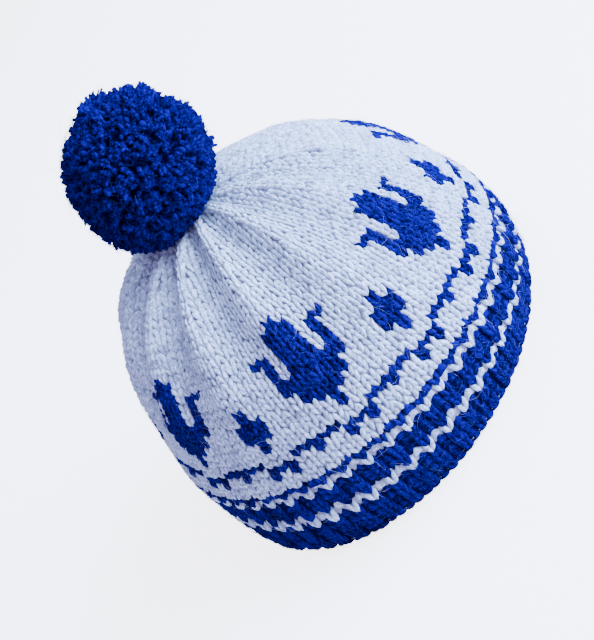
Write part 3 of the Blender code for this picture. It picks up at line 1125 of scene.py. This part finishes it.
@dataclass
class Pompom:
    """Cut yarn ends bound into a ball, over a felted heart."""

    form: HatForm
    wool: bpy.types.Material
    seed: int = 5
    clumps: int = 1350
    ends_in_clump: int = 4
    sides: int = 5
    twist: float = math.radians(30.0)
    strand_length: float = 14.0
    root_radius: float = 0.0205
    thickness: float = 0.00090
    thick_range: tuple = (0.75, 1.20)
    spread_range: tuple = (0.3, 1.1)
    sag: float = 0.24
    # One end: levels along it and half widths there, as shares.
    rings: tuple = ((0.00, 0.80), (0.52, 0.95), (0.86, 1.06), (1.00, 0.66))
    # How far the clumps reach, as shares of the radius: middle value, spread, its limits, and waves.
    reach: float = 0.985
    reach_spread: float = 0.018
    reach_limits: tuple = (-2.2, 2.8)
    reach_waves: float = 0.030
    wave_count: int = 8
    wave_turns: float = 6.0
    # Spreads of the small unevenness in radians, metres and shares.
    uneven_polar: float = 0.030
    uneven_around: float = 0.040
    uneven_bend: float = 0.0024
    least_bend: float = 0.0006
    uneven_end: float = 0.009
    uneven_out: float = 0.026
    uneven_tone: float = 0.32
    seat_clearance: float = 0.0004
    heart_share: float = 0.84
    heart_lump: float = 0.003
    heart_lump_size: float = 0.004
    heart_uv: tuple = (20.0, 60.0)
    # The heart carries nearly the full painted shade, as it lies under the ends.
    heart_numbers: tuple = (("depth", 0.12), ("tone", 0.3))

    def master(self) -> Master:
        """One twisted yarn end, from 0 to 1 along Z, with half widths as shares of the yarn's."""
        part = draw_thread(self.rings, self.sides, self.twist)
        part.strand = part.strand * np.array([1.0, self.strand_length])
        return part

    def build(self) -> None:
        """Builds and fixes the heart and the yarn ends."""
        self._heart()
        rng = np.random.default_rng(self.seed)
        master = self.master()
        out, reach, bend, first = self._ends(rng)
        n = len(out)
        second = np.cross(out, first)
        thick = self.thickness * rng.uniform(*self.thick_range, (n, 1))
        around = rng.uniform(0.0, TURN, (n, 1))
        spread = rng.uniform(*self.spread_range, (n, 1)) * self.thickness
        x, y, z = master.axes()
        along = self.root_radius + (reach - self.root_radius) * z - self.sag * bend * z**2
        # Each end splays from its clump and thickens towards its tip.
        aside = spread * (0.35 + z)
        grown = thick * (0.72 + 0.28 * z)
        placed = (
            out[:, None] * along[..., None]
            + first[:, None] * (x * grown + bend * z**2.2 + aside * np.cos(around))[..., None]
            + second[:, None] * (y * grown + aside * np.sin(around))[..., None]
        )
        placed = self._rest_on_crown(self.form.stretch_pompom(placed) + self.form.pompom_centre())
        # Painted shade: each end darkens towards its root, where the ends crowd together.
        depth = np.clip((z - 0.30) / 0.60, 0.0, 1.0)
        tone = np.clip(0.45 + rng.normal(0.0, self.uneven_tone, (n, 1)), 0.0, 1.0)
        numbers = {"depth": depth, "tone": tone}
        ends = repeat("pompom_ends", master, placed, self.wool, random_shift(rng, n), numbers)
        dress(ends, Yarn.BLUE, "pompom")

    def _ends(self, rng: np.random.Generator) -> tuple[np.ndarray, np.ndarray, np.ndarray, np.ndarray]:
        """Scatters the clumps over the ball and gives each its yarn ends.

        Args:
            rng: the source of unevenness.

        Returns:
            For each end: its outward direction, how far it reaches, how far its tip bends aside and where to.
        """
        count = self.clumps
        k = np.arange(count) + 0.5
        polar = np.arccos(1.0 - 2.0 * k / count) + rng.normal(0.0, self.uneven_polar, count)
        around = TURN * k * GOLDEN_SHARE + rng.normal(0.0, self.uneven_around, count)
        level = np.sin(polar)
        out = np.stack([level * np.cos(around), level * np.sin(around), np.cos(polar)], axis=1)
        first = random_directions(rng, out)
        waves = 0.0
        for _ in range(self.wave_count):
            waves = waves + np.cos(out @ rng.normal(0.0, self.wave_turns, 3) + rng.uniform(0.0, TURN))
        waves = waves / 4.0
        share = self.reach + self.reach_spread * rng.standard_normal(count).clip(*self.reach_limits)
        share = share + self.reach_waves * waves
        reach = self.form.pompom_radius * share * self.form.pompom_share(out)
        bend = np.abs(rng.normal(0.0, self.uneven_bend, count)) + self.least_bend
        each = (np.repeat(values, self.ends_in_clump, axis=0) for values in (out, reach, bend, first))
        out, reach, bend, first = each
        reach = reach * (1.0 + rng.normal(0.0, self.uneven_end, len(reach)))
        out = unit(out + rng.normal(0.0, self.uneven_out, out.shape))
        first = unit(first - (first * out).sum(1)[:, None] * out)
        return out, reach[:, None], bend[:, None], first

    def _rest_on_crown(self, points: np.ndarray) -> np.ndarray:
        """Presses what would reach below the seat up onto the crown."""
        tilt = self.form.lean_angle
        up = np.array([math.sin(tilt), 0.0, math.cos(tilt)])
        seat = self.form.lean(np.array([[0.0, 0.0, self.form.body_height + self.form.gap]]))[0]
        height = (points - seat) @ up
        return points + np.maximum(0.0, self.seat_clearance - height)[..., None] * up

    def _heart(self) -> None:
        """Builds the dense middle that the yarn ends grow from."""
        deselect_all()
        radius = self.form.pompom_radius * self.heart_share
        bpy.ops.mesh.primitive_ico_sphere_add(subdivisions=5, radius=radius)
        obj = bpy.context.active_object
        obj.name = obj.data.name = "pompom_heart"
        lumps = obj.modifiers.new("lumps", "DISPLACE")
        lumps.texture = bpy.data.textures.new("clumps", "CLOUDS")
        lumps.texture.noise_scale = self.heart_lump_size
        lumps.strength = self.heart_lump
        lumps.mid_level = 0.5
        bpy.ops.object.modifier_apply(modifier=lumps.name)
        data = obj.data
        placed = self.form.stretch_pompom(read_points(data)) + self.form.pompom_centre()
        write_points(data, self._rest_on_crown(placed))
        for key, value in self.heart_numbers:
            add_number(data, key, np.full(len(data.vertices), value))
        uv = data.uv_layers.get("UVMap") or data.uv_layers.new(name="UVMap")
        uv.name = "strand"
        values = np.empty(len(data.loops) * 2, np.float32)
        uv.data.foreach_get("uv", values)
        values = (values.reshape(-1, 2) * np.array(self.heart_uv)).reshape(-1)
        uv.data.foreach_set("uv", values.astype(np.float32))
        data.materials.append(self.wool)
        smooth_faces(data)
        dress(obj, Yarn.BLUE)


# Stray fibres


@dataclass
class StrayFibres:
    """Fine hairs that stand off the wool and soften its outline."""

    form: HatForm
    pattern: Pattern
    seed: int = 23
    length: tuple = (0.0018, 0.0050)
    long_share: float = 0.15
    long_factor: float = 1.9
    curl: float = 0.60
    least_rise: float = 0.10
    droop: float = 0.55
    tones: tuple = (0.4, 1.0)
    # One fibre: levels along it and half widths there, as shares.
    levels: tuple = ((0.0, 1.0), (0.5, 0.9), (1.0, 0.3))
    # Roots and a point above them, in metres out from the body, and how steeply the hairs leave it.
    body_roots: tuple = (0.0006, 0.0011)
    body_out: float = 0.0050
    body_rise: float = 0.16
    stitch_middle: float = 0.6
    pompom_reach: float = 0.970
    pompom_lowest: float = -0.75
    pompom_rise: float = 0.5
    pompom_thickness: float = 0.00005

    def scatter(
        self, name: str, roots: np.ndarray, out: np.ndarray, thickness: float, rise: float,
        yarn: Yarn, wool: bpy.types.Material, rng: np.random.Generator,
    ) -> None:
        """Grows one fibre from each root.

        Args:
            name: the piece's name.
            roots: where they start.
            out: outward direction at each root.
            thickness: half width of a fibre.
            rise: how steeply they leave the surface.
            yarn: the wool, which is not used.
            wool: its material.
            rng: the source of their directions.
        """
        master = draw_thread(self.levels, sides=3)
        n = len(roots)
        aside = random_directions(rng, out)
        other = np.cross(out, aside)
        length = rng.uniform(*self.length, n)
        length = length * np.where(rng.uniform(0.0, 1.0, n) < self.long_share, self.long_factor, 1.0)
        curl = rng.normal(0.0, self.curl, (n, 1))
        lift = np.abs(rng.normal(0.0, rise, (n, 1))) + self.least_rise
        x, y, z = master.axes()
        t = z * length[:, None]
        height = lift * t * (1.0 - self.droop * z)
        placed = (
            roots[:, None]
            + aside[:, None] * t[..., None]
            + other[:, None] * (curl * t * z + x * thickness)[..., None]
            + out[:, None] * (height + y * thickness)[..., None]
        )
        placed[..., 2] = np.maximum(placed[..., 2], LOWEST)
        shift = random_shift(rng, n)
        numbers = {"depth": np.ones((1, 1)), "tone": rng.uniform(*self.tones, (n, 1))}
        dress(repeat(name, master, placed, wool, shift, numbers), yarn)

    def body_fibres(
        self, name: str, rows: tuple, count: int, thickness: float, yarn: Yarn, wool: bpy.types.Material
    ) -> None:
        """Grows fibres on the stitches of one wool.

        Args:
            name: the piece's name.
            rows: lowest and highest row.
            count: how many roots are tried.
            thickness: half width of a fibre.
            yarn: the wool whose stitches carry them.
            wool: its material.
        """
        rng = np.random.default_rng(self.seed + count)
        row = rng.uniform(*rows, count)
        azimuth = rng.uniform(0.0, TURN, count)
        stitch = np.rint((azimuth - self.form.fold_azimuth) / TURN * self.pattern.round_stitches)
        own = [
            (self.pattern.yarn(int(r), int(at)) if r < self.pattern.plain_from else Yarn.WHITE) is yarn
            for r, at in zip(row - self.stitch_middle, stitch)
        ]
        row, azimuth = row[own], azimuth[own]
        arc = self.pattern.arc(row)
        roots = self.form.point(azimuth, arc, rng.uniform(*self.body_roots, len(arc)))
        out = unit(self.form.point(azimuth, arc, np.full(len(arc), self.body_out)) - roots)
        self.scatter(name, roots, out, thickness, self.body_rise, yarn, wool, rng)

    def pompom_fibres(self, name: str, count: int, wool: bpy.types.Material) -> None:
        """Grows fibres on the pompom."""
        rng = np.random.default_rng(self.seed + count)
        out = unit(rng.normal(0.0, 1.0, (count, 3)))
        out = out[out[:, 2] > self.pompom_lowest]
        reach = self.form.pompom_radius * self.pompom_reach * self.form.pompom_share(out)[:, None]
        roots = self.form.pompom_centre() + self.form.stretch_pompom(out * reach)
        self.scatter(name, roots, out, self.pompom_thickness, self.pompom_rise, Yarn.BLUE, wool, rng)


# Camera, floor and light


@dataclass(frozen=True)
class Studio:
    """Camera at the photo's angle, a plain pale floor and soft light."""

    aim: tuple = (0.00083, 0.0, 0.060)
    distance: float = 0.55
    elevation: float = math.radians(28.39)
    roll: float = math.radians(54.59)
    lens: float = 73.8
    shift: tuple = (0.02295, -0.03995)
    sensor_width: float = 36.0
    floor_radius: float = 14.0
    surroundings_glow: float = 4.0
    unseen_surroundings: tuple = (0.088, 0.071, 0.160, 1.0)
    # Name, place, side in metres, power in watts and colour of each.
    lights: tuple = (
        ("key_light", (1.12, -0.50, 0.55), 1.40, 152.0, (0.42, 0.60, 1.0)),
        ("fill_light", (-0.80, -0.90, 0.75), 0.6, 3.0, (0.66, 0.58, 1.0)),
        ("top_light", (0.10, 0.35, 1.30), 1.0, 17.0, (0.42, 0.62, 1.0)),
    )

    def build(self) -> None:
        """Adds the camera, the floor, the lights and the pale surroundings."""
        self._camera()
        self._floor()
        for light in self.lights:
            self._area(*light)
        self._surroundings()

    def _camera(self) -> None:
        """Adds the camera, turned so that the hat lies as in the photo."""
        c, s = math.cos(self.elevation), math.sin(self.elevation)
        eye = Vector(self.aim) + self.distance * Vector((0.0, -c, s))
        right, up, back = Vector((1.0, 0.0, 0.0)), Vector((0.0, s, c)), Vector((0.0, -c, s))
        turned_right = right * math.cos(self.roll) - up * math.sin(self.roll)
        turned_up = right * math.sin(self.roll) + up * math.cos(self.roll)
        data = bpy.data.cameras.new("photo_camera")
        data.lens = self.lens
        data.sensor_width = self.sensor_width
        data.shift_x, data.shift_y = self.shift
        data.clip_start = 0.01
        obj = bpy.data.objects.new("photo_camera", data)
        turn = Matrix((turned_right, turned_up, back)).transposed()
        obj.matrix_world = Matrix.Translation(eye) @ turn.to_4x4()
        bpy.context.scene.collection.objects.link(obj)
        bpy.context.scene.camera = obj

    def _surroundings(self) -> None:
        """Adds the surroundings: pale where they are seen, and a dim cool light on the hat."""
        world = bpy.data.worlds.new("pale_surroundings")
        world.use_nodes = True
        nodes, links = world.node_tree.nodes, world.node_tree.links
        seen = nodes.new("ShaderNodeLightPath")
        mix = nodes.new("ShaderNodeMix")
        mix.data_type = "RGBA"
        mix.inputs[6].default_value = self.unseen_surroundings
        mix.inputs[7].default_value = WHITE
        background = nodes["Background"]
        background.inputs["Strength"].default_value = self.surroundings_glow
        links.new(seen.outputs["Is Camera Ray"], mix.inputs[0])
        links.new(mix.outputs[2], background.inputs["Color"])
        bpy.context.scene.world = world

    def _floor(self) -> None:
        """Adds the floor."""
        deselect_all()
        bpy.ops.mesh.primitive_circle_add(vertices=96, radius=self.floor_radius, fill_type="NGON")
        floor = bpy.context.active_object
        floor.name = "pale_floor"
        floor.data.materials.append(FLOOR.material())

    def _area(self, name: str, place: tuple, size: float, power: float, colour: tuple) -> None:
        """Adds one soft light aimed at the hat, with its place, side in metres, power in watts and colour."""
        data = bpy.data.lights.new(name, "AREA")
        data.size = size
        data.energy = power
        data.color = colour
        obj = bpy.data.objects.new(name, data)
        obj.location = place
        obj.rotation_euler = (Vector(self.aim) - Vector(place)).to_track_quat("-Z", "Y").to_euler()
        bpy.context.scene.collection.objects.link(obj)


def main() -> None:
    """Builds the hat piece by piece and logs each one."""
    logging.basicConfig(level=logging.INFO, format="%(name)s: %(message)s", stream=sys.stdout)
    form, pattern = HatForm(), Pattern()
    wools = {Yarn.WHITE: WHITE_WOOL.material(), Yarn.BLUE: BLUE_WOOL.material()}
    body = KnittedBody(form, pattern, wools)
    body.build_band()
    body.build_body()
    body.build_crown()
    InnerFabric(form, pattern).build(INNER_WOOL.material())
    pompom_wool, blue_hair = POMPOM_WOOL.material(), BLUE_HAIR.material()
    Pompom(form, pompom_wool).build()
    fibres = StrayFibres(form, pattern)
    fibres.body_fibres("white_fibres", (4.0, 52.0), 8200, 0.00005, Yarn.WHITE, wools[Yarn.WHITE])
    fibres.body_fibres("blue_fibres", (0.5, 30.0), 7600, 0.00008, Yarn.BLUE, blue_hair)
    fibres.pompom_fibres("pompom_fibres", 2200, pompom_wool)
    fibres.pompom_fibres("pompom_light_fibres", 700, blue_hair)
    Studio().build()


if __name__ == "__main__":
    main()
